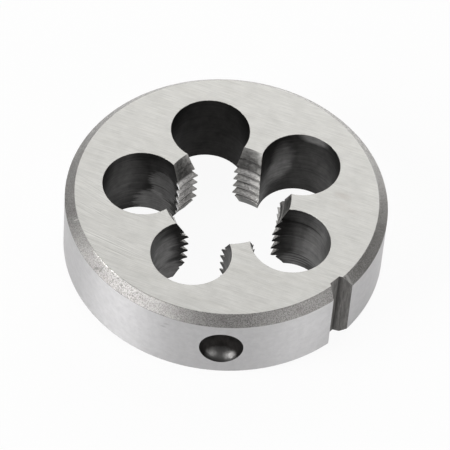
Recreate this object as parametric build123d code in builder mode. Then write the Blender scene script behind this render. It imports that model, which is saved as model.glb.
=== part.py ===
from build123d import *

import os
from math import cos, radians, sin, tan

# Round threading die, closed form, for cutting an outside screw thread by hand.
# It is one piece of tool steel. The origin is on the thread's axis at the back
# face. +Z runs along the axis to the front face, and the adjusting notch is at
# +X. Lengths are millimetres, and angles are degrees, counted round +Z.

# Body
BODY_DIAMETER = 38.0
BODY_THICKNESS = 10.0
FRONT_CHAMFER = 1.1
BACK_CHAMFER = 0.8

# Screw thread that the die cuts, right-handed. The groove between the teeth is what
# the cut screw fills, and its middle first passes +X at GROOVE_HEIGHT above the back
# face.
THREAD_DIAMETER = 14.0
THREAD_PITCH = 1.25
THREAD_ANGLE = 60.0
TOOTH_CREST_WIDTH = 0.23
GROOVE_ROOT_WIDTH = 0.15
GROOVE_HEIGHT = 0.7

# Lead-in cone, the same at both ends of the thread, and how much wider than the
# thread its mouth is
LEAD_MOUTH_CLEARANCE = 1.1
LEAD_HALF_ANGLE = 25.0

# Chip holes round the thread, which part it into cutting lands, and how far they
# break into the bore
CHIP_HOLE_COUNT = 5
CHIP_HOLE_DIAMETER = 9.4
CHIP_HOLE_BREAK_IN = 0.95
CHIP_START_ANGLE = 2.25

# Adjusting notch across the rim
NOTCH_FLOOR_WIDTH = 1.5
NOTCH_DEPTH = 1.5
NOTCH_ANGLE = 60.0

# Drilled dimples in the rim for the clamping screws of the die stock. The wall is
# straight to DIMPLE_WALL_DEPTH below the rim, and a drill point makes the rest.
DIMPLE_DIAMETER = 5.2
DIMPLE_WALL_DEPTH = 0.5
DIMPLE_POINT_ANGLE = 118.0
DIMPLE_TIP_RADIUS = 0.4
DIMPLE_SPREAD_ANGLE = 46.4

# How far a cutter runs on past the surface that it opens
OVERRUN = 0.5

body_radius = BODY_DIAMETER / 2

# The flanks and the two flats fill one pitch, which gives the depth of the teeth
flank_slope = tan(radians(THREAD_ANGLE / 2))
tooth_depth = (THREAD_PITCH - TOOTH_CREST_WIDTH - GROOVE_ROOT_WIDTH) / 2 / flank_slope
root_radius = THREAD_DIAMETER / 2
crest_radius = root_radius - tooth_depth
lead_mouth_radius = root_radius + LEAD_MOUTH_CLEARANCE / 2
lead_depth = (lead_mouth_radius - crest_radius) / tan(radians(LEAD_HALF_ANGLE))

chip_hole_radius = CHIP_HOLE_DIAMETER / 2
chip_circle_radius = crest_radius - CHIP_HOLE_BREAK_IN + chip_hole_radius
land_angle = 360 / CHIP_HOLE_COUNT

# One piece of the thread groove, from the middle of a chip hole to the middle of
# the next. Its V runs on inwards past the crests, short of the next turn's V.
root_half_width = GROOVE_ROOT_WIDTH / 2
inner_half_width = (THREAD_PITCH - TOOTH_CREST_WIDTH / 2) / 2
inner_radius = root_radius - (inner_half_width - root_half_width) / flank_slope

with BuildPart() as groove_cutter:
    with BuildLine() as groove_path:
        Helix(
            pitch=THREAD_PITCH,
            height=THREAD_PITCH * land_angle / 360,
            radius=crest_radius,
        )
    with BuildSketch(Plane.XZ) as groove_profile:
        with BuildLine():
            Polyline(
                (inner_radius, -inner_half_width),
                (root_radius, -root_half_width),
                (root_radius, root_half_width),
                (inner_radius, inner_half_width),
                close=True,
            )
        make_face()
    sweep(path=groove_path.wires()[0], is_frenet=True)

with BuildPart() as threading_die:
    # Turned blank: rim, chamfers, and the bore at the thread's crests
    with BuildSketch(Plane.XZ) as turned_profile:
        with BuildLine():
            Polyline(
                (lead_mouth_radius, 0),
                (body_radius - BACK_CHAMFER, 0),
                (body_radius, BACK_CHAMFER),
                (body_radius, BODY_THICKNESS - FRONT_CHAMFER),
                (body_radius - FRONT_CHAMFER, BODY_THICKNESS),
                (lead_mouth_radius, BODY_THICKNESS),
                (crest_radius, BODY_THICKNESS - lead_depth),
                (crest_radius, lead_depth),
                close=True,
            )
        make_face()
    revolve(axis=Axis.Z)

    # Chip holes
    with BuildSketch() as chip_holes:
        with PolarLocations(chip_circle_radius, CHIP_HOLE_COUNT, CHIP_START_ANGLE):
            Circle(chip_hole_radius)
    extrude(amount=BODY_THICKNESS, mode=Mode.SUBTRACT)

    # Thread groove, land by land and turn by turn, on one helix. It starts two turns
    # below the back face, as a land's first piece may be nearly one turn up already,
    # and ends above the front face.
    first_turn = -2
    last_turn = int(BODY_THICKNESS / THREAD_PITCH) + 1
    groove_pieces = []
    for land in range(CHIP_HOLE_COUNT):
        start_angle = CHIP_START_ANGLE + land * land_angle
        for turn in range(first_turn, last_turn):
            height = GROOVE_HEIGHT + THREAD_PITCH * (turn + start_angle / 360)
            groove_pieces.append(Location((0, 0, height), (0, 0, start_angle)))
    with Locations(*groove_pieces):
        add(groove_cutter.part, mode=Mode.SUBTRACT)

    # Adjusting notch, a trapezium that narrows towards its floor
    notch_floor = body_radius - NOTCH_DEPTH
    notch_top = body_radius + OVERRUN
    notch_widening = (notch_top - notch_floor) * tan(radians(NOTCH_ANGLE / 2))
    floor_half_width = NOTCH_FLOOR_WIDTH / 2
    with BuildSketch() as notch_profile:
        with BuildLine():
            Polyline(
                (notch_floor, -floor_half_width),
                (notch_top, -floor_half_width - notch_widening),
                (notch_top, floor_half_width + notch_widening),
                (notch_floor, floor_half_width),
                close=True,
            )
        make_face()
    extrude(amount=BODY_THICKNESS, mode=Mode.SUBTRACT)

    # Dimples at mid-thickness, one each side of the notch
    point_half_angle = radians(DIMPLE_POINT_ANGLE / 2)
    dimple_radius = DIMPLE_DIAMETER / 2
    dimple_top = body_radius + OVERRUN
    wall_end = body_radius - DIMPLE_WALL_DEPTH
    point_apex = wall_end - dimple_radius / tan(point_half_angle)
    tip_centre = point_apex + DIMPLE_TIP_RADIUS / sin(point_half_angle)
    tip_end = (tip_centre - DIMPLE_TIP_RADIUS, 0)
    tip_edge = (
        tip_centre - DIMPLE_TIP_RADIUS * sin(point_half_angle),
        DIMPLE_TIP_RADIUS * cos(point_half_angle),
    )
    for angle in (-DIMPLE_SPREAD_ANGLE, DIMPLE_SPREAD_ANGLE):
        dimple_plane = Plane.XY.offset(BODY_THICKNESS / 2).rotated((0, 0, angle))
        with BuildSketch(dimple_plane) as dimple_profile:
            with BuildLine():
                Polyline(
                    tip_end,
                    (dimple_top, 0),
                    (dimple_top, dimple_radius),
                    (wall_end, dimple_radius),
                    tip_edge,
                )
                RadiusArc(tip_end, tip_edge, DIMPLE_TIP_RADIUS)
            make_face()
        revolve(axis=Axis(dimple_plane.origin, dimple_plane.x_dir), mode=Mode.SUBTRACT)

threading_die.part.label = "threading_die"

os.makedirs("parts", exist_ok=True)
export_step(threading_die.part, "parts/threading_die.step")
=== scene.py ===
import math

import bmesh
import bpy
from mathutils import Matrix, Vector


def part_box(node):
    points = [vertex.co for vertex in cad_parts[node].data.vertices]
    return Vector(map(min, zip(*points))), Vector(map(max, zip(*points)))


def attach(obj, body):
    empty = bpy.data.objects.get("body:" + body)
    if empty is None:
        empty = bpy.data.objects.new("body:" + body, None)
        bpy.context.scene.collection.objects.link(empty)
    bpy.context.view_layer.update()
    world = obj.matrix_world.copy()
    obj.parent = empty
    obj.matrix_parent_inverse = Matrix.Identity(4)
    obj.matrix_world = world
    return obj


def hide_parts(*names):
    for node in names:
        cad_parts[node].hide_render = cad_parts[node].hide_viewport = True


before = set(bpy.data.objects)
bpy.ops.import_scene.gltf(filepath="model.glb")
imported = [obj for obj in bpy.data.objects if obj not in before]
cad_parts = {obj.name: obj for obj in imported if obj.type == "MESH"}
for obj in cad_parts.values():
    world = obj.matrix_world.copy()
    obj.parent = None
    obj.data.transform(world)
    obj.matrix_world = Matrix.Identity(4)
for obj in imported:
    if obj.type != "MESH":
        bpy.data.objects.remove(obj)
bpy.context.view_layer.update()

bl_info = {
    "name": "Round Threading Die",
    "version": (1, 0, 0),
    "blender": (4, 5, 0),
    "location": "3D View > Sidebar > Threading Die",
    "description": "Models a round threading die in ground, drilled and threaded steel",
    "category": "Object",
}

MM = 0.001
CAD_NODE = "threading_die"
CAD_BODY = "root"
cad_low, cad_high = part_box(CAD_NODE)

# How finely the round shapes are divided
RIM_SIDES = 240
CHIP_HOLE_SIDES = 120
DIMPLE_SIDES = 72
DIMPLE_STEPS = 8
THREAD_SIDES = 144

# Turns of the thread's groove that lie beyond each face
TURNS_BEFORE = 2

# How far a cutter runs on past the surface that it opens, how near counts as touching,
# how near vertices are welded, and the sharpest corner that is shaded smooth
OVERRUN = 0.5 * MM
TOUCH = 0.01 * MM
WELD = 0.0005 * MM
SMOOTH_ANGLE = math.radians(24)

# A face looks along an axis where that part of its normal is above the first of these,
# and across the axis where it is below the second
ALONG, ACROSS = 0.99, 0.01

# Marks that the drill left up each chip hole's wall, from the back face: height and how
# far the wall steps in there from its line to the front mouth, in millimetres. The steps
# add up, to 0.5 mm in the first hole.
DRILL_MARKS = (
    ((0.30, 0.08), (0.55, 0.02), (0.85, 0.10), (1.05, 0.02), (1.30, 0.10), (1.55, 0.03),
     (1.85, 0.10), (2.05, 0.04), (2.35, 0.09), (2.90, 0.08), (5.60, 0.08), (5.72, 0.06),
     (5.86, 0.08), (8.25, 0.10), (8.40, 0.00)),
    ((0.40, 0.04), (2.00, 0.04), (2.12, 0.03), (2.30, 0.04), (8.42, 0.05), (8.52, 0.00)),
    ((0.50, 0.00), (9.50, 0.00)),
    ((1.60, 0.00), (1.72, 0.02), (1.90, 0.00), (4.50, 0.00), (4.62, 0.03), (4.80, 0.00),
     (8.90, 0.00), (9.00, 0.02), (9.15, 0.00)),
    ((0.40, 0.03), (3.10, 0.03), (3.25, 0.01), (3.45, 0.03), (5.30, 0.03), (5.42, 0.01),
     (5.60, 0.03), (8.70, 0.04), (8.80, 0.00)),
)

# One finish for each way that the steel was worked
GROUND_FACE = "high_speed_steel_surface_ground"
GROUND_RIM = "high_speed_steel_cylindrically_ground"
TURNED = "high_speed_steel_rough_turned_and_hardened"
DRILLED = "high_speed_steel_drilled_and_hardened"
CUT_THREAD = "high_speed_steel_thread_cut_and_lapped"
LEAD_IN = "high_speed_steel_countersunk"
MILLED = "high_speed_steel_milled_and_hardened"
DIMPLE = "high_speed_steel_drill_pointed_and_hardened"

WHITE = (1.0, 1.0, 1.0)
OIL_BROWN = (0.36, 0.30, 0.26)

# Angle of the faces' grinding lines from +X
GRINDING_TURN = math.radians(24)

# Between these lie most of a grain pattern's values
MID_GRAIN = (0.35, 0.65)

# A scratch's dark furrow and its bright edge: the values of the grain where each begins
# and is full, and how light it is
FURROW = (0.56, 0.62, 0.45)
BRIGHT_EDGE = (0.45, 0.39, 1.35)

# Wear stands where these tables say. A place is its middle, its turn about z and its
# reach, with lengths in millimetres.

# Scratches on the front face: middle and reach, how far their run crosses the grinding
# lines, their width and how strong they are
FACE_SCRATCHES = (
    ((-4.6, -15.8, 10.0), (4.5, 1.6, 2.0), math.radians(-7), 0.16, 0.30),
    ((-10.5, -12.5, 10.0), (4.0, 3.0, 2.0), math.radians(-15), 0.14, 0.19),
)

# Oil stains on the front face: place and strength
FACE_STAINS = (
    ((9.5, 9.8, 10.0), GRINDING_TURN, (0.9, 0.40, 2.0), 0.24),
    ((11.3, 8.6, 10.0), GRINDING_TURN, (1.3, 0.45, 2.0), 0.11),
    ((10.2, 8.9, 10.0), GRINDING_TURN, (0.8, 0.30, 2.0), 0.10),
)

# Knocks on the rim and on the front chamfer: place and how light
RIM_KNOCKS = (
    ((7.3, -17.5, 7.0), math.radians(23), (0.30, 0.4, 0.12), 0.80),
    ((7.7, -17.4, 7.6), math.radians(23), (0.34, 0.4, 0.14), 0.82),
)
CHAMFER_KNOCKS = (
    ((-9.2, -15.6, 9.8), math.radians(35), (0.45, 0.09, 0.4), 1.8),
    ((-2.1, -18.4, 9.4), math.radians(82), (0.45, 0.10, 0.6), 0.45),
    ((-2.7, -18.5, 9.2), math.radians(20), (0.35, 0.14, 0.3), 0.45),
    ((18.2, 1.5, 9.6), math.radians(5), (0.8, 0.16, 0.9), 1.22),
)

# Places where one land's teeth get painted glints, where the front corner has been knocked, where
# the front chamfer's skin is pitted, and where its right-front side is darkened as painted shade
LAND_PAINTED_GLINT = ((-6.2, -1.8, 5.0), math.radians(16), (1.0, 1.0, 5.0))
KNOCKED_CORNER = ((-2.1, -17.9, 9.95), math.radians(-6), (2.6, 0.5, 0.5))
PITTED_CHAMFER = ((0.8, -18.4, 9.5), math.radians(3), (4.2, 1.2, 1.2))
CHAMFER_PAINTED_SHADE = ((16.9, 8.0, 9.5), math.radians(25), (2.6, 9.0, 1.5))

# Where each dimple is painted lighter, as a painted sheen: how far in from the rim, height and
# reach
DIMPLE_PAINTED_SHEEN = (0.6, 2.4, (1.1, 1.8, 0.8))

# Patches of chip-hole wall: the hole, the angle round its axis in degrees, the height, the
# half width and half height in millimetres, how bare it is rubbed or, where negative, how
# dark, and how frayed and how soft the edge is. Rows marked below are painted sheen or painted
# shade.
WALL_PATCHES = (
    (0, 58, 6.0, 3.0, 6.0, 0.90, 0.5, 0.5),
    # Painted sheen: a tall narrow streak up the wall
    (0, 88, 5.6, 1.2, 3.0, 0.85, 0.9, 0.5),
    (0, 96, 3.6, 1.8, 1.5, 0.60, 0.9, 0.4),
    (0, 112, 5.6, 1.6, 2.8, 0.55, 0.9, 0.5),
    (0, 118, 1.4, 1.6, 1.5, 0.65, 1.2, 0.3),
    # Painted shadow: a thin dark line under the ledge
    (0, 110, 8.2, 3.6, 0.10, -0.80, 0.6, 0.4),
    (0, 100, 9.2, 3.4, 0.8, 0.50, 0.6, 0.4),
    (0, 134, 5.5, 1.0, 2.8, -0.50, 0.9, 0.4),
    # Painted shade: thin dark lines along the drill rings
    (0, 116, 0.9, 1.7, 0.10, -0.70, 0.5, 0.4),
    (0, 113, 1.45, 1.9, 0.10, -0.70, 0.5, 0.4),
    (0, 113, 2.0, 2.0, 0.12, -0.80, 0.5, 0.4),
    (0, 110, 2.65, 2.4, 0.12, -0.60, 0.5, 0.4),
    (1, 60, 5.0, 3.5, 5.0, 0.22, 0.4, 0.6),
    (1, 110, 5.0, 4.0, 4.5, 0.16, 0.6, 0.5),
    # Painted sheen on this hole's wall, in these two rows
    (1, 160, 6.4, 1.3, 2.2, 0.50, 0.8, 0.4),
    (1, 168, 4.4, 1.6, 1.7, 0.62, 0.9, 0.4),
    (1, 197, 2.6, 1.2, 2.4, 0.45, 0.6, 0.5),
    (1, 112, 9.7, 1.6, 0.8, 1.00, 0.6, 0.3),
    (3, 98, 5.0, 1.9, 2.3, 0.56, 1.3, 0.12),
    (3, 112, 1.2, 2.8, 2.1, 0.56, 1.3, 0.12),
    # Painted shade: a thin dark line along a drill ring
    (3, 112, 4.6, 2.2, 0.12, -0.60, 0.8, 0.4),
    (3, 168, 6.0, 2.4, 4.0, 0.30, 0.6, 0.5),
    (3, 84, 8.0, 2.4, 1.8, 0.16, 0.6, 0.5),
    (4, 176, 5.4, 1.5, 3.2, 0.72, 0.8, 0.4),
    (4, 165, 1.6, 1.6, 1.6, 0.62, 1.2, 0.3),
    (4, 156, 5.5, 0.9, 0.4, -0.60, 1.0, 0.4),
    (4, 160, 3.4, 0.9, 0.4, -0.60, 1.0, 0.4),
    (4, 166, 8.6, 1.4, 0.5, -0.60, 1.0, 0.4),
    (4, 205, 7.5, 1.8, 3.0, 0.40, 0.6, 0.5),
    (4, 55, 7.0, 2.2, 4.0, 0.75, 0.6, 0.5),
    (4, 300, 4.0, 3.0, 4.0, 0.40, 0.9, 0.3),
    (3, 300, 5.5, 2.6, 3.0, 0.35, 1.0, 0.3),
    (2, 250, 4.5, 2.6, 3.0, 0.30, 1.0, 0.3),
    (1, 10, 4.0, 2.6, 3.0, 0.30, 1.0, 0.3),
    (0, 300, 4.0, 2.4, 3.6, 0.40, 0.9, 0.3),
)

# Lamps: angle from the camera's right, angle above the floor, width and height in metres
# and radiance. All stand at the same distance from the die.
LAMP_DISTANCE = 0.5
LAMPS = {
    "lamp_back_strip": (84, 6, (0.60, 0.08), 6.5),
    "lamp_back_wide": (76, 37, (0.85, 0.50), 1.22),
    "lamp_back_left": (145, 40, (0.30, 0.30), 0.5),
    "lamp_left": (209, 30, (0.30, 0.28), 6.9),
    "lamp_right": (324, 23, (0.30, 0.36), 2.0),
}

# The floor's width and the camera's range in metres, and what the camera looks at
FLOOR_WIDTH = 3.0
CAMERA_RANGE = (0.01, 10.0)
CAMERA_TARGET = Vector((1.89, -2.07, 7.64)) * MM

# How white the floor and the world are to the camera and in the metal's reflections
FLOOR_WHITES = (0.94, 0.40)
WORLD_WHITES = (1.0, 0.05)


def linear(hex_colour):
    """The linear colour of an sRGB hex value such as #C8C6C2."""
    channels = [int(hex_colour[i:i + 2], 16) / 255 for i in (1, 3, 5)]
    return tuple(c / 12.92 if c <= 0.04045 else ((c + 0.055) / 1.055) ** 2.4 for c in channels)


def around(radius, angle, height=0.0):
    """The point at this distance from the z axis, angle about it and height."""
    return Vector((radius * math.cos(angle), radius * math.sin(angle), height))


def length(name, description, default):
    """A length that the user can change, given here in millimetres."""
    return bpy.props.FloatProperty(
        name=name, description=description, default=default * MM, min=0.001 * MM,
        unit="LENGTH", subtype="DISTANCE", precision=6,
    )


def turn(name, description, default):
    """An angle that the user can change, given here in degrees."""
    return bpy.props.FloatProperty(
        name=name, description=description, default=math.radians(default),
        unit="ROTATION", subtype="ANGLE",
    )


def colour(name, description, hex_colour):
    """A colour that the user can change."""
    return bpy.props.FloatVectorProperty(
        name=name, description=description, default=linear(hex_colour), size=3,
        min=0.0, max=1.0, subtype="COLOR",
    )


class DieSizes(bpy.types.PropertyGroup):
    """Sizes of the die."""

    body_diameter: length("Body diameter", "Across the ground rim", (cad_high.y - cad_low.y) / MM)
    body_thickness: length("Body thickness", "From face to face", (cad_high.z - cad_low.z) / MM)
    front_chamfer: length("Front chamfer", "Turned chamfer between the front face and the rim", 1.1)
    back_chamfer: length("Back chamfer", "Turned chamfer between the back face and the rim", 0.8)
    thread_diameter: length("Thread diameter", "Across the roots of the thread", 14.0)
    thread_pitch: length("Thread pitch", "From one tooth to the next along the axis", 1.25)
    thread_angle: turn("Thread angle", "Between the two flanks of a tooth", 60.0)
    crest_flat: length("Tooth crest", "Flat on the inner end of a tooth", 0.23)
    root_flat: length("Groove root", "Flat at the bottom of the groove", 0.15)
    groove_height: length("Groove height", "Where the groove first passes +X", 0.7)
    mouth_clearance: length("Mouth clearance", "How much wider the lead-in is than the thread", 1.1)
    lead_angle: turn("Lead-in angle", "Between the lead-in cone and the axis", 25.0)
    hole_count: bpy.props.IntProperty(
        name="Chip holes", description="Chip holes round the thread", default=5, min=3, max=8)
    hole_diameter: length("Chip hole diameter", "Across one chip hole", 9.4)
    hole_break_in: length("Chip hole break-in", "How far a chip hole reaches into the bore", 0.95)
    hole_start: turn("First chip hole", "Angle of the first chip hole from +X", 2.25)
    notch_floor: length("Notch floor", "Width of the adjusting notch at its floor", 1.5)
    notch_depth: length("Notch depth", "From the rim to the notch's floor", 1.5)
    notch_angle: turn("Notch angle", "Between the notch's two flanks", 60.0)
    dimple_diameter: length("Dimple diameter", "Across a clamping dimple", 5.2)
    dimple_wall: length("Dimple wall", "From the rim to the cone's corner", 0.75)
    dimple_point: turn("Dimple point", "Angle of the drill point at a dimple's bottom", 118.0)
    dimple_tip: length("Dimple tip", "Radius of the worn point of a dimple", 2.4)
    dimple_corner: length("Dimple corner", "Radius of the worn corner between cone and wall", 1.7)
    dimple_spread: turn("Dimple spread", "Angle of each dimple from the notch", 46.4)
    edge_break: length("Edge break", "Small worn rounding along the outer edges", 0.04)

    @property
    def body_radius(self):
        return self.body_diameter / 2

    @property
    def flank_slope(self):
        return math.tan(self.thread_angle / 2)

    @property
    def crest_radius(self):
        flanks = self.thread_pitch - self.crest_flat - self.root_flat
        return self.thread_diameter / 2 - flanks / 2 / self.flank_slope

    @property
    def mouth_radius(self):
        return (self.thread_diameter + self.mouth_clearance) / 2

    @property
    def lead_depth(self):
        return (self.mouth_radius - self.crest_radius) / math.tan(self.lead_angle)

    @property
    def hole_radius(self):
        return self.hole_diameter / 2

    @property
    def hole_circle(self):
        return self.crest_radius - self.hole_break_in + self.hole_radius

    def hole_turn(self, hole):
        """Angle of a chip hole from +X."""
        return self.hole_start + math.tau * hole / self.hole_count


class DieColours(bpy.types.PropertyGroup):
    """Colours of the die's finishes."""

    ground_face: colour("Ground faces", "Surface-ground front and back", "#CFCECA")
    ground_rim: colour("Ground rim", "Satin cylindrical grinding", "#D7D6D7")
    turned: colour("Turned chamfers", "Rough-turned and hardened", "#A7A5A3")
    drilled: colour("Chip holes", "Drilled walls with a dark hardening skin", "#363534")
    bare_drilled: colour(
        "Chip holes, bare", "Patches where the drilled walls lost that skin", "#A09F9E")
    cut_thread: colour("Thread", "Tapped and lapped teeth", "#D6D4D2")
    lead_in: colour("Lead-in", "Countersunk cones at both ends of the thread", "#8A8987")
    milled: colour("Notch", "Milled notch with a grey hardening skin", "#898785")
    dimple: colour("Dimples", "Drilled dimples with a dark polished skin", "#302E2D")
    worn: colour("Worn edges", "Bare steel where edges have rubbed", "#E2E0DC")


class StudioSettings(bpy.types.PropertyGroup):
    """Camera, lamps and floor."""

    camera_turn: turn("Camera turn", "Camera's angle round the die", 41.15)
    camera_height: turn("Camera height", "Camera's angle above the floor", 50.42)
    camera_roll: turn("Camera roll", "Camera's tilt about its own line of sight", 4.85)
    camera_distance: length("Camera distance", "From the camera to its target", 394.6)
    lens: bpy.props.FloatProperty(
        name="Lens", description="Focal length", default=269.5, min=1.0, subtype="DISTANCE_CAMERA")
    floor: colour("Floor", "Pale studio floor", "#F6F6F5")
    lamp_level: bpy.props.FloatProperty(
        name="Lamp level", description="Scales all the lamps", default=1.0, min=0.0)
    sky_level: bpy.props.FloatProperty(
        name="Sky level", description="Even light from all round", default=0.09, min=0.0)


# Modelling helpers


def select_only(*pieces):
    """Select just these pieces and make the first the active one."""
    bpy.ops.object.select_all(action="DESELECT")
    for piece in pieces:
        piece.select_set(True)
    bpy.context.view_layer.objects.active = pieces[0]


def copied(piece):
    """A copy of the piece, with its own mesh."""
    copy = piece.copy()
    copy.data = piece.data.copy()
    bpy.context.scene.collection.objects.link(copy)
    return copy


def joined(pieces):
    """The pieces made into one."""
    select_only(*pieces)
    bpy.ops.object.join()
    return pieces[0]


def turn_mesh(piece, angle):
    """Turn the piece's mesh about the die's axis."""
    piece.data.transform(Matrix.Rotation(angle, 4, "Z"))


def start_editing(piece):
    """Open just this piece in edit mode, with all of it selected."""
    select_only(piece)
    bpy.ops.object.mode_set(mode="EDIT")
    bpy.ops.mesh.select_all(action="SELECT")


def stop_editing():
    """Go back to object mode."""
    bpy.ops.object.mode_set(mode="OBJECT")


def pick(piece, parts, test):
    """Select just the vertices, edges or faces, as parts says, that pass the test."""
    bpy.ops.mesh.select_mode(type={"verts": "VERT", "edges": "EDGE", "faces": "FACE"}[parts])
    bpy.ops.mesh.select_all(action="DESELECT")
    mesh = bmesh.from_edit_mesh(piece.data)
    chosen = [part for part in getattr(mesh, parts) if test(part)]
    if not chosen:
        raise RuntimeError(f"{piece.name}: none of its {parts} passed the test")
    for part in chosen:
        part.select_set(True)
    bmesh.update_edit_mesh(piece.data)


def cut_across(height):
    """Cut everything in the open mesh across at this height, and select the new ring."""
    bpy.ops.mesh.select_all(action="SELECT")
    bpy.ops.mesh.bisect(plane_co=(0, 0, height), plane_no=(0, 0, 1))


def widen(factor, axis=(0, 0, 0)):
    """Move what is selected away from an upright axis, or nearer to it."""
    bpy.ops.transform.resize(value=(factor, factor, 1), center_override=axis)


def face_outwards():
    """Turn every face of the open mesh so that it looks out."""
    bpy.ops.mesh.select_all(action="SELECT")
    bpy.ops.mesh.normals_make_consistent(inside=False)


def added(name, *finishes):
    """Name the primitive just added, fix its place in its mesh and give it its finishes."""
    bpy.ops.object.transform_apply(location=True, rotation=True, scale=True)
    piece = bpy.context.view_layer.objects.active
    piece.name = name
    piece.data.name = name
    for finish in finishes:
        piece.data.materials.append(bpy.data.materials[finish])
    return piece


def use_modifier(piece, kind, **settings):
    """Add a modifier to the piece, set it and apply it."""
    select_only(piece)
    modifier = piece.modifiers.new(kind.title(), kind)
    for name, value in settings.items():
        setattr(modifier, name, value)
    bpy.ops.object.modifier_apply(modifier=modifier.name)


def cut(piece, cutter):
    """Cut the cutter out of the piece. The new surfaces keep the cutter's finish."""
    before = len(piece.data.polygons)
    use_modifier(piece, "BOOLEAN", operation="DIFFERENCE", solver="EXACT",
                 object=cutter, material_mode="TRANSFER")
    if len(piece.data.polygons) == before:
        raise RuntimeError(f"{cutter.name} cut nothing from {piece.name}")
    bpy.data.objects.remove(cutter)


def on_circle(edge, radius, height):
    """Whether both ends of an edge lie on a circle about the die's axis."""
    return all(abs(math.hypot(v.co.x, v.co.y) - radius) < TOUCH and abs(v.co.z - height) < TOUCH
               for v in edge.verts)


# The die


def open_bore(blank, sizes):
    """Bore with a lead-in cone at each end, made in a disc that is open in edit mode.

    Both ends are inset to the lead-in's mouth and joined by a wall, whose middle is then
    drawn in to the crests."""
    thickness = sizes.body_thickness
    pick(blank, "faces", lambda f: abs(f.normal.z) > ALONG)
    bpy.ops.mesh.inset(thickness=sizes.body_radius - sizes.mouth_radius)
    bpy.ops.mesh.bridge_edge_loops()
    for height in (sizes.lead_depth, thickness - sizes.lead_depth):
        pick(blank, "faces", lambda f: abs(f.normal.z) < ACROSS
             and math.hypot(*f.calc_center_median().xy) < sizes.mouth_radius + TOUCH)
        bpy.ops.mesh.bisect(plane_co=(0, 0, height), plane_no=(0, 0, 1))
    pick(blank, "verts", lambda v: TOUCH < v.co.z < thickness - TOUCH
         and math.hypot(*v.co.xy) < sizes.mouth_radius + TOUCH)
    widen(sizes.crest_radius / sizes.mouth_radius)


def chamfer_rim(blank, sizes):
    """Rim chamfers, then a small worn rounding on each outer edge."""
    radius, thickness = sizes.body_radius, sizes.body_thickness
    for height, chamfer in ((thickness, sizes.front_chamfer), (0, sizes.back_chamfer)):
        pick(blank, "edges", lambda e: on_circle(e, radius, height))
        bpy.ops.mesh.bevel(offset=chamfer, segments=1, affect="EDGES")
    corners = (
        (radius - sizes.front_chamfer, thickness), (radius, thickness - sizes.front_chamfer),
        (radius - sizes.back_chamfer, 0), (radius, sizes.back_chamfer),
        (sizes.mouth_radius, thickness), (sizes.mouth_radius, 0),
    )
    pick(blank, "edges", lambda e: any(on_circle(e, *corner) for corner in corners))
    bpy.ops.mesh.bevel(offset=sizes.edge_break, segments=2, affect="EDGES")


def turned_blank(sizes):
    """Ring with the chamfered rim and the lead-in cones, before any holes are cut."""
    bpy.ops.mesh.primitive_cylinder_add(
        vertices=RIM_SIDES, radius=sizes.body_radius, depth=sizes.body_thickness,
        location=(0, 0, sizes.body_thickness / 2))
    finishes = (GROUND_FACE, GROUND_RIM, TURNED, CUT_THREAD, LEAD_IN)
    blank = added("die_body", *finishes)
    start_editing(blank)
    open_bore(blank, sizes)
    chamfer_rim(blank, sizes)
    stop_editing()

    # Each face's finish follows from its slope and its distance from the axis
    for face in blank.data.polygons:
        slope, reach = abs(face.normal.z), math.hypot(*face.center.xy)
        if reach < sizes.mouth_radius + TOUCH:
            finish = CUT_THREAD if slope < ACROSS else LEAD_IN
        elif slope > ALONG:
            finish = GROUND_FACE
        elif slope < ACROSS:
            finish = GROUND_RIM
        else:
            finish = TURNED
        face.material_index = finishes.index(finish)
    return blank


def chip_hole_cutter(sizes):
    """Cutters for the chip holes, each with the rings that the drill left in its wall."""
    thickness = sizes.body_thickness
    axis = Vector((sizes.hole_circle, 0, 0))
    bpy.ops.mesh.primitive_cylinder_add(
        vertices=CHIP_HOLE_SIDES, radius=sizes.hole_radius, depth=thickness + 2 * OVERRUN,
        location=(axis.x, 0, thickness / 2))
    plain = added("chip_hole_cutter", DRILLED)

    # Mouths, broken outwards a little: the wall widens beyond a cut just inside each face
    start_editing(plain)
    broken = sizes.edge_break / 2
    cut_across(broken)
    cut_across(thickness - broken)
    pick(plain, "verts", lambda v: v.co.z < -TOUCH or v.co.z > thickness + TOUCH)
    widen(1 + (OVERRUN + broken) / sizes.hole_radius, axis)
    stop_editing()

    cutters = []
    for hole in range(sizes.hole_count):
        cutter = copied(plain)
        start_editing(cutter)
        for height, step in DRILL_MARKS[hole % len(DRILL_MARKS)]:
            cut_across(height * MM)
            widen(1 - step * MM / sizes.hole_radius, axis)
        stop_editing()
        turn_mesh(cutter, sizes.hole_turn(hole))
        cutters.append(cutter)
    bpy.data.objects.remove(plain)
    return joined(cutters)


def thread_cutter(sizes):
    """Helical V that cuts the thread's groove, a little proud of the crests."""
    inner_width = sizes.thread_pitch - sizes.crest_flat / 2
    root = sizes.thread_diameter / 2
    depth = (inner_width - sizes.root_flat) / 2 / sizes.flank_slope

    # The groove's outline stands upright beside the axis, narrowed to the flat at its root.
    # Only the outline is swept, so its face goes.
    start = sizes.groove_height - TURNS_BEFORE * sizes.thread_pitch
    bpy.ops.mesh.primitive_plane_add(
        size=1, rotation=(math.pi / 2, 0, 0), location=(root - depth / 2, 0, start))
    bpy.ops.transform.resize(value=(depth, 1, inner_width))
    cutter = added("thread_cutter", CUT_THREAD)
    start_editing(cutter)
    pick(cutter, "edges", lambda e: all(abs(v.co.x - root) < TOUCH for v in e.verts))
    bpy.ops.transform.resize(
        value=(1, 1, sizes.root_flat / inner_width), center_override=(root, 0, start))
    bpy.ops.mesh.select_all(action="SELECT")
    bpy.ops.mesh.delete(type="ONLY_FACE")
    stop_editing()

    # It is swept past both faces and closed at both ends
    turns = math.ceil(sizes.body_thickness / sizes.thread_pitch) + 2 * TURNS_BEFORE
    use_modifier(cutter, "SCREW", axis="Z", screw_offset=sizes.thread_pitch,
                 iterations=turns, steps=THREAD_SIDES, render_steps=THREAD_SIDES)
    start_editing(cutter)
    bpy.ops.mesh.fill_holes(sides=4)
    face_outwards()
    stop_editing()
    return cutter


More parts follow.
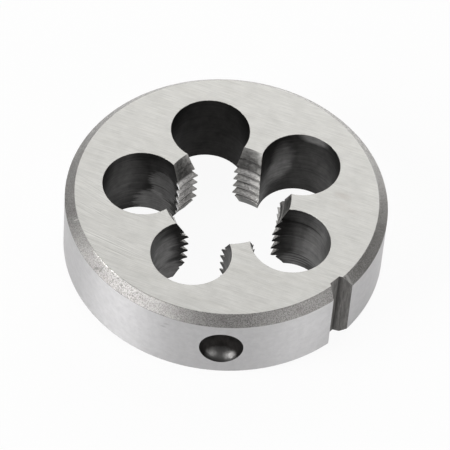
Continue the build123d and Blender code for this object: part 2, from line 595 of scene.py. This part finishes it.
def notch_cutter(sizes):
    """Wedge that mills the adjusting notch across the rim."""
    floor_x = sizes.body_radius - sizes.notch_depth
    reach = sizes.notch_depth + OVERRUN
    outer_width = sizes.notch_floor + 2 * reach * math.tan(sizes.notch_angle / 2)
    bpy.ops.mesh.primitive_cube_add(
        size=1, location=(floor_x + reach / 2, 0, sizes.body_thickness / 2))
    bpy.ops.transform.resize(value=(reach, outer_width, sizes.body_thickness + 2 * OVERRUN))
    cutter = added("notch_cutter", MILLED)
    start_editing(cutter)
    pick(cutter, "faces", lambda f: f.normal.x < -ALONG)
    bpy.ops.transform.resize(
        value=(1, sizes.notch_floor / outer_width, 1), center_override=(floor_x, 0, 0))
    stop_editing()
    return cutter


def dimple_profile(sizes):
    """Rings of a dimple from its straight wall to its worn point, and where its bottom is.

    Each ring is its distance from the die's axis and its radius."""
    radius = sizes.dimple_diameter / 2
    corner, tip = sizes.dimple_corner, sizes.dimple_tip
    wall_end = sizes.body_radius - sizes.dimple_wall
    lean = math.pi / 2 - sizes.dimple_point / 2
    corner_from = wall_end + corner * math.tan((math.pi / 2 - lean) / 2)
    point_from = wall_end - radius * math.tan(lean) + tip / math.cos(lean)
    rings = []
    for i in range(DIMPLE_STEPS + 1):
        tilt = math.pi / 2 + (lean - math.pi / 2) * i / DIMPLE_STEPS
        rings.append((corner_from - corner * math.cos(tilt),
                      radius - corner * (1 - math.sin(tilt))))
    for i in range(DIMPLE_STEPS):
        tilt = lean * (1 - i / DIMPLE_STEPS)
        rings.append((point_from - tip * math.cos(tilt), tip * math.sin(tilt)))
    return rings, point_from - tip


def dimple_cutter(sizes):
    """Two drill points that sink the clamping dimples into the rim."""
    rings, bottom = dimple_profile(sizes)
    mid = sizes.body_thickness / 2
    x, r = sizes.body_radius + OVERRUN, sizes.dimple_diameter / 2
    bpy.ops.mesh.primitive_circle_add(
        vertices=DIMPLE_SIDES, radius=r, fill_type="NGON",
        rotation=(0, -math.pi / 2, 0), location=(x, 0, mid))
    cutter = added("dimple_cutter", DIMPLE)
    start_editing(cutter)
    for next_x, next_r in rings:
        bpy.ops.mesh.extrude_region_move(TRANSFORM_OT_translate={"value": (next_x - x, 0, 0)})
        bpy.ops.transform.resize(
            value=(1, next_r / r, next_r / r), center_override=(next_x, 0, mid))
        x, r = next_x, next_r
    bpy.ops.mesh.extrude_region_move(TRANSFORM_OT_translate={"value": (bottom - x, 0, 0)})
    bpy.ops.mesh.merge(type="CENTER")
    face_outwards()
    stop_editing()

    twin = copied(cutter)
    turn_mesh(cutter, sizes.dimple_spread)
    turn_mesh(twin, -sizes.dimple_spread)
    return joined([cutter, twin])


# Finishes

# A Mix node's places for its share and its two colours, and for the colour it gives
SHARE, FIRST, SECOND, MIXED = 0, 6, 7, 2


def add(tree, kind, sockets=None, out=0, **settings):
    """Add a node with its settings, give its sockets a value or a link, and return its output."""
    node = tree.nodes.new(kind)
    for name, value in settings.items():
        setattr(node, name, value)
    for name, value in (sockets or {}).items():
        socket = node.inputs[name]
        if isinstance(value, bpy.types.NodeSocket):
            tree.links.new(value, socket)
        elif socket.type == "RGBA":
            socket.default_value = (*value[:3], 1.0)
        else:
            socket.default_value = value
    return node.outputs[out] if node.outputs else None


def shade(base, factor):
    """The colour, lighter or darker by a factor."""
    return tuple(min(1.0, c * factor) for c in base)


def empty_tree(owner):
    """The node tree of a new material or world, with nothing in it."""
    owner.use_nodes = True
    owner.node_tree.nodes.clear()
    return owner.node_tree


def new_finish(name):
    """Empty material's node tree, and its object coordinates."""
    tree = empty_tree(bpy.data.materials.new(name))
    return tree, add(tree, "ShaderNodeTexCoord", out="Object")


def metal_surface(tree, colour_now, pattern, roughness, relief, depth, more=None):
    """Metal of this colour, rougher where the pattern is high, with relief of this depth.

    The roughness goes from the first value given to the second. The depth is in
    millimetres. More holds other settings of the shader."""
    smoothest, roughest = roughness
    rough = add(tree, "ShaderNodeMapRange", {
        "Value": pattern, "From Min": 0.3, "From Max": 0.7,
        "To Min": smoothest, "To Max": roughest})
    bump = add(tree, "ShaderNodeBump", {"Height": relief, "Distance": depth * MM})
    shader = add(tree, "ShaderNodeBsdfPrincipled", {
        "Metallic": 1.0, "Base Color": colour_now, "Roughness": rough, "Normal": bump,
    } | (more or {}))
    add(tree, "ShaderNodeOutputMaterial", {"Surface": shader})


def grain(tree, place, size, turned=0.0, detail=3.0, rough=0.6):
    """Pattern whose grains have this size in millimetres along x, y and z, turned about z."""
    scaled = add(tree, "ShaderNodeMapping", {
        "Vector": place, "Rotation": (0, 0, turned), "Scale": [s * MM for s in size],
    }, vector_type="TEXTURE")
    return add(tree, "ShaderNodeTexNoise", {
        "Vector": scaled, "Scale": 1.0, "Detail": detail, "Roughness": rough})


def tint(tree, pattern, first, second, low=0.0, high=1.0):
    """Colour that goes from the first to the second as the pattern goes from low to high."""
    share = add(tree, "ShaderNodeMapRange", {"Value": pattern, "From Min": low, "From Max": high})
    return add(tree, "ShaderNodeMix", {SHARE: share, FIRST: first, SECOND: second},
               out=MIXED, data_type="RGBA")


def darken(tree, colour_now, pattern, least, low=0.0, high=1.0):
    """The colour, multiplied by less as the pattern goes from low to high, down to least."""
    marks = tint(tree, pattern, WHITE, least, low, high)
    return add(tree, "ShaderNodeMix", {SHARE: 1.0, FIRST: colour_now, SECOND: marks},
               out=MIXED, data_type="RGBA", blend_type="MULTIPLY")


def patch(tree, place, middle, turned, reach, pattern, fray, soft):
    """Share of an oval patch, 1 inside and 0 outside, its edge frayed by the pattern.

    Its middle and reach are in millimetres, and it is turned about z."""
    local = add(tree, "ShaderNodeMapping", {
        "Vector": place, "Location": [m * MM for m in middle], "Rotation": (0, 0, turned),
        "Scale": [r * MM for r in reach]}, vector_type="TEXTURE")
    away = add(tree, "ShaderNodeVectorMath", {0: local}, out="Value", operation="LENGTH")
    frayed = add(tree, "ShaderNodeMath", {0: pattern, 1: fray, 2: away}, operation="MULTIPLY_ADD")
    edge = 1.0 + fray / 2
    return add(tree, "ShaderNodeMapRange", {
        "Value": frayed, "From Min": edge + soft, "From Max": edge - soft})


def edge_of_faces(tree, place, sizes, none_at, full_at, pattern):
    """The pattern, where a place is within full_at of either face, fading out by none_at."""
    half = sizes.body_thickness / 2
    up = add(tree, "ShaderNodeSeparateXYZ", {"Vector": place}, out="Z")
    from_middle = add(tree, "ShaderNodeMath", {0: up, 1: half}, operation="SUBTRACT")
    from_middle = add(tree, "ShaderNodeMath", {0: from_middle}, operation="ABSOLUTE")
    near = add(tree, "ShaderNodeMapRange", {
        "Value": from_middle, "From Min": half - none_at, "From Max": half - full_at})
    return add(tree, "ShaderNodeMath", {0: near, 1: pattern}, operation="MULTIPLY")


def off_chip_holes(tree, place, sizes):
    """Distance of a place from the wall of the nearest chip hole, in metres."""
    flat = add(tree, "ShaderNodeVectorMath", {0: place, 1: (1, 1, 0)}, operation="MULTIPLY")
    nearest = sizes.body_diameter
    for hole in range(sizes.hole_count):
        axis = around(sizes.hole_circle, sizes.hole_turn(hole))
        away = add(tree, "ShaderNodeVectorMath", {0: flat, 1: axis}, out="Value",
                   operation="DISTANCE")
        nearest = add(tree, "ShaderNodeMath", {0: away, 1: nearest}, operation="MINIMUM")
    return add(tree, "ShaderNodeMath", {0: nearest, 1: sizes.hole_radius}, operation="SUBTRACT")


def ground_face_finish(colours, sizes):
    """Surface-ground steel: straight fine lines that all run one way, with a silky gloss.

    The wheel leaves lines about 0.03 mm wide, too fine to show, so they are drawn 0.1 mm wide."""
    tree, place = new_finish(GROUND_FACE)
    base = colours.ground_face
    lines = grain(tree, place, (3.5, 0.10, 1.0), GRINDING_TURN, rough=0.7)
    bands = grain(tree, place, (14.0, 0.5, 1.0), GRINDING_TURN)
    clouds = grain(tree, place, (2.4, 1.6, 5.0), GRINDING_TURN, detail=6.0, rough=0.7)
    colour_now = tint(tree, clouds, shade(base, 0.96), shade(base, 1.065), *MID_GRAIN)
    colour_now = darken(tree, colour_now, lines, (0.86, 0.86, 0.86), *MID_GRAIN)
    colour_now = darken(tree, colour_now, bands, (0.955, 0.95, 0.94), 0.50, 0.75)

    # Deeper scratches, where the die was slid about on a bench
    for middle, reach, crossing, width, strength in FACE_SCRATCHES:
        deep = grain(tree, place, (9.0, width, 1.0), GRINDING_TURN + crossing, detail=1.0)
        zone = patch(tree, place, middle, GRINDING_TURN, reach, clouds, fray=1.0, soft=0.3)
        for begins, full, light in (FURROW, BRIGHT_EDGE):
            line = add(tree, "ShaderNodeMapRange", {
                "Value": deep, "From Min": begins, "From Max": full, "To Max": strength})
            share = add(tree, "ShaderNodeMath", {0: zone, 1: line}, operation="MULTIPLY")
            colour_now = tint(tree, share, colour_now, shade(base, light))

    # Faint brown stains from cutting oil
    for *where, strength in FACE_STAINS:
        stain = patch(tree, place, *where, clouds, fray=1.6, soft=0.5)
        colour_now = tint(tree, stain, colour_now, OIL_BROWN, high=1.0 / strength)
    metal_surface(tree, colour_now, lines, roughness=(0.36, 0.48), relief=lines, depth=0.008)


def ground_rim_finish(colours, sizes):
    """Cylindrically ground steel: a satin sheen with the faintest of lines round the rim.

    The wheel's lines are about 0.05 mm wide, too fine to show, so they are drawn 0.14 mm wide."""
    tree, place = new_finish(GROUND_RIM)
    base = colours.ground_rim
    lines = grain(tree, place, (2.0, 2.0, 0.14))
    clouds = grain(tree, place, (0.9, 0.9, 0.8), detail=5.0, rough=0.7)
    colour_now = tint(tree, clouds, shade(base, 0.94), shade(base, 1.05), *MID_GRAIN)
    colour_now = darken(tree, colour_now, lines, (0.98, 0.98, 0.98), *MID_GRAIN)
    for *where, light in RIM_KNOCKS:
        knock = patch(tree, place, *where, clouds, fray=0.8, soft=0.5)
        colour_now = tint(tree, knock, colour_now, shade(base, light))
    round_rim = add(tree, "ShaderNodeTangent", direction_type="RADIAL", axis="Z")
    metal_surface(
        tree, colour_now, clouds, roughness=(0.38, 0.44), relief=lines, depth=0.003,
        more={"Anisotropic": 0.85, "Anisotropic Rotation": 0.25, "Tangent": round_rim})


def turned_finish(colours, sizes):
    """Turned steel, left as it came from hardening: a grey skin that sparkles like fine sand.

    The skin's grains are about 0.05 mm wide, too fine to show, so they are drawn 0.11 mm wide."""
    tree, place = new_finish(TURNED)
    base = colours.turned
    speckle = grain(tree, place, (0.11, 0.11, 0.11), detail=2.0, rough=0.7)
    clouds = grain(tree, place, (1.6, 1.6, 1.2), detail=4.0)
    colour_now = tint(tree, speckle, shade(base, 0.52), shade(base, 1.24), 0.36, 0.62)
    colour_now = darken(tree, colour_now, clouds, (0.82, 0.80, 0.80), 0.5, 0.75)
    # The chamfer's right-front side is darkened here: painted shade
    skin = patch(tree, place, *CHAMFER_PAINTED_SHADE, clouds, fray=0.4, soft=0.3)
    colour_now = darken(tree, colour_now, skin, (0.80, 0.80, 0.79))

    # A row of bright beads where the front corner has been knocked: worn steel, and painted glints
    # where they reach near white
    fine = grain(tree, place, (0.22, 0.22, 0.22), detail=2.0)
    beads = add(tree, "ShaderNodeMapRange", {"Value": fine, "From Min": 0.46, "From Max": 0.56})
    rubbed = edge_of_faces(tree, place, sizes, 0.13 * MM, 0.06 * MM, beads)
    zone = patch(tree, place, *KNOCKED_CORNER, fine, fray=0.4, soft=0.3)
    rubbed = add(tree, "ShaderNodeMath", {0: rubbed, 1: zone}, operation="MULTIPLY")
    colour_now = tint(tree, rubbed, colour_now, shade(colours.worn, 1.2), high=1.2)

    # Dark pits, and knocks that are darker or brighter
    pits = grain(tree, place, (0.20, 0.20, 0.20), detail=2.0, rough=0.7)
    pits = add(tree, "ShaderNodeMapRange", {"Value": pits, "From Min": 0.54, "From Max": 0.62})
    zone = patch(tree, place, *PITTED_CHAMFER, clouds, fray=0.8, soft=0.4)
    pits = add(tree, "ShaderNodeMath", {0: pits, 1: zone}, operation="MULTIPLY")
    colour_now = tint(tree, pits, colour_now, shade(base, 0.42))
    for *where, light in CHAMFER_KNOCKS:
        knock = patch(tree, place, *where, speckle, fray=0.8, soft=0.3)
        colour_now = tint(tree, knock, colour_now, shade(base, light), high=1.2)
    metal_surface(tree, colour_now, speckle, roughness=(0.30, 0.46), relief=speckle, depth=0.045)


def drilled_finish(colours, sizes):
    """Drilled steel under a dark hardening skin: nearly black, with a soft sheen up the wall.

    The drill fed about 0.2 mm a turn, which gives faint rings as far apart. The skin is
    rubbed through in patches that follow those rings, some lightened further as painted sheen, and
    thin dark lines under the ledge and along rings are painted shade."""
    tree, place = new_finish(DRILLED)
    base, bare = colours.drilled, colours.bare_drilled
    rings = grain(tree, place, (9.0, 9.0, 0.2))
    ragged = grain(tree, place, (1.7, 1.7, 0.3), detail=5.0, rough=0.65)
    clouds = grain(tree, place, (1.3, 1.3, 1.6), detail=4.0)
    colour_now = tint(tree, clouds, shade(base, 0.75), shade(base, 1.35), 0.3, 0.7)
    bare_now = tint(tree, clouds, shade(bare, 0.75), shade(bare, 1.2), 0.3, 0.7)
    for hole, angle, height, wide, tall, strength, fray, soft in WALL_PATCHES:
        round_hole = math.radians(angle)
        axis = around(sizes.hole_circle, sizes.hole_turn(hole))
        middle = (axis + around(sizes.hole_radius, round_hole, height * MM)) / MM
        rubbed = patch(tree, place, middle, round_hole, (2.0, wide, tall), ragged, fray, soft)
        # Light rows show bare steel, some of it painted sheen; dark rows darken the skin, some of
        # it painted shade
        shows = bare_now if strength > 0 else shade(base, 0.55)
        colour_now = tint(tree, rubbed, colour_now, shows, high=1.0 / abs(strength))
    colour_now = darken(tree, colour_now, rings, (0.72, 0.72, 0.74), 0.45, 0.7)

    # Mouths rubbed brighter here and there at both faces
    flecks = grain(tree, place, (0.5, 0.5, 0.5), detail=2.0)
    flecks = add(tree, "ShaderNodeMapRange", {
        "Value": flecks, "From Min": 0.5, "From Max": 0.62, "To Min": 0.1})
    mouth = edge_of_faces(tree, place, sizes, 0.08 * MM, 0.03 * MM, flecks)
    colour_now = tint(tree, mouth, colour_now, shade(colours.worn, 0.6))
    metal_surface(tree, colour_now, ragged, roughness=(0.40, 0.54), relief=rings, depth=0.012)


def thread_finish(colours, sizes):
    """Cut and lapped steel: grey teeth with fine torn lines along them, cutting edges made lighter
    partly as painted light, painted shade at the roots and crests, and painted glints on one land.

    The lines are about 0.03 mm wide, too fine to show, so they are drawn 0.09 mm wide."""
    tree, place = new_finish(CUT_THREAD)
    base = colours.cut_thread
    lines = grain(tree, place, (3.0, 3.0, 0.09))
    mottle = grain(tree, place, (0.30, 0.30, 0.18), detail=4.0, rough=0.7)
    colour_now = tint(tree, mottle, shade(base, 0.6), shade(base, 1.25), *MID_GRAIN)

    # Lighter near the chip holes: worn cutting edges, and partly painted light on the sides of the
    # lands
    away = off_chip_holes(tree, place, sizes)
    edge = add(tree, "ShaderNodeMapRange", {
        "Value": away, "From Max": 0.9 * MM, "To Min": 0.55, "To Max": 0.0})
    colour_now = tint(tree, edge, colour_now, colours.worn)

    # Painted shade: the roots of the teeth are darkened where the tooth above shades them, and the
    # crest flats are made a little darker to hold back their highlight
    flat = add(tree, "ShaderNodeVectorMath", {0: place, 1: (1, 1, 0)}, operation="MULTIPLY")
    out = add(tree, "ShaderNodeVectorMath", {0: flat}, out="Value", operation="LENGTH")
    root, tip = sizes.thread_diameter / 2, sizes.crest_radius
    scale = add(tree, "ShaderNodeMapRange", {
        "Value": out, "From Min": root - 0.44 * MM, "From Max": root - 0.22 * MM, "To Max": 0.85})
    colour_now = tint(tree, scale, colour_now, shade(base, 0.14))
    crest = add(tree, "ShaderNodeMapRange", {
        "Value": out, "From Min": tip + 0.04 * MM, "From Max": tip + 0.01 * MM, "To Max": 0.5})
    colour_now = tint(tree, crest, colour_now, shade(base, 0.35))

    # Painted glints: one land's teeth are painted white along the chip hole's edge
    glint = add(tree, "ShaderNodeMapRange", {
        "Value": away, "From Min": 0.16 * MM, "From Max": 0.10 * MM})
    teeth = add(tree, "ShaderNodeMapRange", {
        "Value": out, "From Min": root - 0.20 * MM, "From Max": root - 0.35 * MM})
    glint = add(tree, "ShaderNodeMath", {0: glint, 1: teeth}, operation="MULTIPLY")
    zone = patch(tree, place, *LAND_PAINTED_GLINT, mottle, fray=0.3, soft=0.2)
    glint = add(tree, "ShaderNodeMath", {0: glint, 1: zone}, operation="MULTIPLY")
    colour_now = tint(tree, glint, colour_now, WHITE)
    metal_surface(tree, colour_now, mottle, roughness=(0.30, 0.50), relief=lines, depth=0.02)


def lead_in_finish(colours, sizes):
    """Countersunk steel: duller than the teeth, with a mottled skin and a bright cutting edge."""
    tree, place = new_finish(LEAD_IN)
    base = colours.lead_in
    mottle = grain(tree, place, (0.5, 0.5, 0.35), detail=4.0, rough=0.7)
    colour_now = tint(tree, mottle, shade(base, 0.5), shade(base, 1.15), *MID_GRAIN)
    edge = add(tree, "ShaderNodeMapRange", {
        "Value": off_chip_holes(tree, place, sizes), "From Max": 0.5 * MM,
        "To Min": 0.4, "To Max": 0.0})
    colour_now = tint(tree, edge, colour_now, colours.worn)
    metal_surface(tree, colour_now, mottle, roughness=(0.36, 0.50), relief=mottle, depth=0.03)


def milled_finish(colours, sizes):
    """Milled steel under a patchy hardening skin: dull, with streaks up the notch."""
    tree, place = new_finish(MILLED)
    base = colours.milled
    streaks = grain(tree, place, (0.16, 0.16, 1.6), detail=4.0)
    clouds = grain(tree, place, (0.30, 0.30, 1.8), detail=5.0, rough=0.7)
    colour_now = tint(tree, clouds, shade(base, 0.62), shade(base, 1.2), *MID_GRAIN)

    # Darker in the two corners along the floor
    across = add(tree, "ShaderNodeSeparateXYZ", {"Vector": place}, out="Y")
    aside = add(tree, "ShaderNodeMath", {0: across}, operation="ABSOLUTE")
    aside = add(tree, "ShaderNodeMath", {0: aside, 1: sizes.notch_floor / 2}, operation="SUBTRACT")
    from_corner = add(tree, "ShaderNodeMath", {0: aside}, operation="ABSOLUTE")
    scale = add(tree, "ShaderNodeMapRange", {
        "Value": from_corner, "From Min": 0.02 * MM, "From Max": 0.22 * MM,
        "To Min": 0.75, "To Max": 0.0})
    colour_now = tint(tree, scale, colour_now, shade(base, 0.35))
    metal_surface(tree, colour_now, streaks, roughness=(0.40, 0.55), relief=streaks, depth=0.05)


def dimple_finish(colours, sizes):
    """Drill-pointed steel under a dark skin: a small bowl.

    Its side nearer the back face is painted lighter, a painted sheen standing in for the lamps it
    catches."""
    tree, place = new_finish(DIMPLE)
    base = colours.dimple
    mottle = grain(tree, place, (0.35, 0.35, 0.9), detail=4.0, rough=0.65)
    colour_now = tint(tree, mottle, shade(base, 0.65), shade(base, 1.15), *MID_GRAIN)
    inwards, height, reach = DIMPLE_PAINTED_SHEEN
    # Each dimple's side nearer the back face is painted lighter here: painted sheen
    for spread in (sizes.dimple_spread, -sizes.dimple_spread):
        middle = around(sizes.body_radius / MM - inwards, spread, height)
        rubbed = patch(tree, place, middle, spread, reach, mottle, fray=0.8, soft=0.8)
        colour_now = tint(tree, rubbed, colour_now, colours.bare_drilled, high=1.2)
    metal_surface(tree, colour_now, mottle, roughness=(0.32, 0.46), relief=mottle, depth=0.03)


# Studio


def seen_as_white(tree, whole, in_metal):
    """Share of plain white here: whole to the camera, in_metal in reflections."""
    camera = add(tree, "ShaderNodeLightPath", out="Is Camera Ray")
    through = add(tree, "ShaderNodeLightPath", out="Is Transmission Ray")
    mirrored = add(tree, "ShaderNodeLightPath", out="Is Glossy Ray")
    direct = add(tree, "ShaderNodeMath", {0: camera, 1: through}, operation="MAXIMUM")
    direct = add(tree, "ShaderNodeMath", {0: direct, 1: whole}, operation="MULTIPLY")
    return add(tree, "ShaderNodeMath", {0: mirrored, 1: in_metal, 2: direct},
               operation="MULTIPLY_ADD")


def area_lamp(name, direction, size, radiance):
    """Soft panel of this size and radiance, which faces the die from a direction."""
    data = bpy.data.lights.new(name, "AREA")
    data.shape = "RECTANGLE"
    data.size, data.size_y = size
    data.energy = radiance * math.pi * size[0] * size[1]
    lamp = bpy.data.objects.new(name, data)
    lamp.visible_camera = False
    lamp.location = direction * LAMP_DISTANCE
    lamp.rotation_mode = "QUATERNION"
    lamp.rotation_quaternion = direction.to_track_quat("Z", "Y")
    bpy.context.scene.collection.objects.link(lamp)


def paper_floor(studio):
    """Matt paper: no gloss of its own, so that only the die's soft shadow shows on it."""
    bpy.ops.mesh.primitive_plane_add(size=FLOOR_WIDTH)
    floor = added("studio_floor")
    material = bpy.data.materials.new("studio_paper_matt")
    tree = empty_tree(material)
    paper = add(tree, "ShaderNodeBsdfDiffuse", {"Color": studio.floor})
    white = add(tree, "ShaderNodeEmission", {"Color": WHITE})
    share = seen_as_white(tree, *FLOOR_WHITES)
    mixed = add(tree, "ShaderNodeMixShader", {0: share, 1: paper, 2: white})
    add(tree, "ShaderNodeOutputMaterial", {"Surface": mixed})
    floor.data.materials.append(material)
    return floor


def even_world(studio):
    """White behind the floor, and a dimmer even light for everything else."""
    world = bpy.data.worlds.new("studio_world")
    tree = empty_tree(world)
    sky = add(tree, "ShaderNodeBackground", {"Color": WHITE, "Strength": studio.sky_level})
    white = add(tree, "ShaderNodeBackground", {"Color": WHITE})
    share = seen_as_white(tree, *WORLD_WHITES)
    mixed = add(tree, "ShaderNodeMixShader", {0: share, 1: sky, 2: white})
    add(tree, "ShaderNodeOutputWorld", {"Surface": mixed})
    return world


def aimed_camera(studio, facing):
    """Camera that looks down at the die, rolled a little about its line of sight."""
    height, roll = studio.camera_height, studio.camera_roll
    right = facing @ Vector((1, 0, 0))
    back = facing @ Vector((0, -math.cos(height), math.sin(height)))
    up = back.cross(right)
    x_axis = math.cos(roll) * right + math.sin(roll) * up
    y_axis = -math.sin(roll) * right + math.cos(roll) * up
    data = bpy.data.cameras.new("studio_camera")
    data.lens = studio.lens
    data.clip_start, data.clip_end = CAMERA_RANGE
    camera = bpy.data.objects.new("studio_camera", data)
    camera.matrix_world = Matrix.LocRotScale(
        CAMERA_TARGET + back * studio.camera_distance,
        Matrix((x_axis, y_axis, back)).transposed(), None)
    bpy.context.scene.collection.objects.link(camera)
    return camera


# Add-on


class MESH_OT_threading_die(bpy.types.Operator):
    """Model the threading die from its blank to its finished teeth"""

    bl_idname = "mesh.threading_die_add"
    bl_label = "Threading Die"
    bl_options = {"REGISTER", "UNDO"}

    def execute(self, context):
        sizes, colours = context.scene.die_sizes, context.scene.die_colours
        for make_finish in (
            ground_face_finish, ground_rim_finish, turned_finish, drilled_finish,
            thread_finish, lead_in_finish, milled_finish, dimple_finish,
        ):
            make_finish(colours, sizes)
        die = turned_blank(sizes)
        for make_cutter in (chip_hole_cutter, thread_cutter, notch_cutter, dimple_cutter):
            cut(die, make_cutter(sizes))

        start_editing(die)
        bpy.ops.mesh.remove_doubles(threshold=WELD)
        bpy.ops.mesh.dissolve_degenerate(threshold=WELD)
        stop_editing()
        bpy.ops.object.shade_smooth_by_angle(angle=SMOOTH_ANGLE)
        use_modifier(die, "WEIGHTED_NORMAL", keep_sharp=True)
        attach(die, CAD_BODY)
        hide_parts(CAD_NODE)
        return {"FINISHED"}


class SCENE_OT_die_studio(bpy.types.Operator):
    """Set up the floor, the lamps and the camera"""

    bl_idname = "scene.die_studio_add"
    bl_label = "Studio"
    bl_options = {"REGISTER", "UNDO"}

    def execute(self, context):
        scene = context.scene
        studio = scene.die_studio
        scene.view_settings.view_transform = "Standard"
        floor = paper_floor(studio)
        scene.world = even_world(studio)
        facing = Matrix.Rotation(studio.camera_turn, 3, "Z")
        for name, (turned, height, size, radiance) in LAMPS.items():
            height = math.radians(height)
            direction = around(math.cos(height), math.radians(turned), math.sin(height))
            area_lamp(name, facing @ direction, size, radiance * studio.lamp_level)
        scene.camera = aimed_camera(studio, facing)
        return {"FINISHED"}


class VIEW3D_PT_threading_die(bpy.types.Panel):
    """Sizes, colours and studio of the threading die"""

    bl_label = "Threading Die"
    bl_idname = "VIEW3D_PT_threading_die"
    bl_space_type = "VIEW_3D"
    bl_region_type = "UI"
    bl_category = "Threading Die"

    def draw(self, context):
        layout = self.layout
        scene = context.scene
        for group, operator in (
            (scene.die_sizes, None),
            (scene.die_colours, MESH_OT_threading_die.bl_idname),
            (scene.die_studio, SCENE_OT_die_studio.bl_idname),
        ):
            column = layout.column(align=True)
            for name in group.__annotations__:
                column.prop(group, name)
            if operator:
                layout.operator(operator)


CLASSES = (
    DieSizes, DieColours, StudioSettings,
    MESH_OT_threading_die, SCENE_OT_die_studio, VIEW3D_PT_threading_die,
)


def register():
    """Add the classes, and give every scene the settings."""
    for cls in CLASSES:
        bpy.utils.register_class(cls)
    bpy.types.Scene.die_sizes = bpy.props.PointerProperty(type=DieSizes)
    bpy.types.Scene.die_colours = bpy.props.PointerProperty(type=DieColours)
    bpy.types.Scene.die_studio = bpy.props.PointerProperty(type=StudioSettings)


def unregister():
    """Take the settings and the classes away again."""
    del bpy.types.Scene.die_studio
    del bpy.types.Scene.die_colours
    del bpy.types.Scene.die_sizes
    for cls in reversed(CLASSES):
        bpy.utils.unregister_class(cls)


def main():
    """Make the studio and the die."""
    register()
    bpy.ops.scene.die_studio_add()
    bpy.ops.mesh.threading_die_add()


if __name__ == "__main__":
    main()
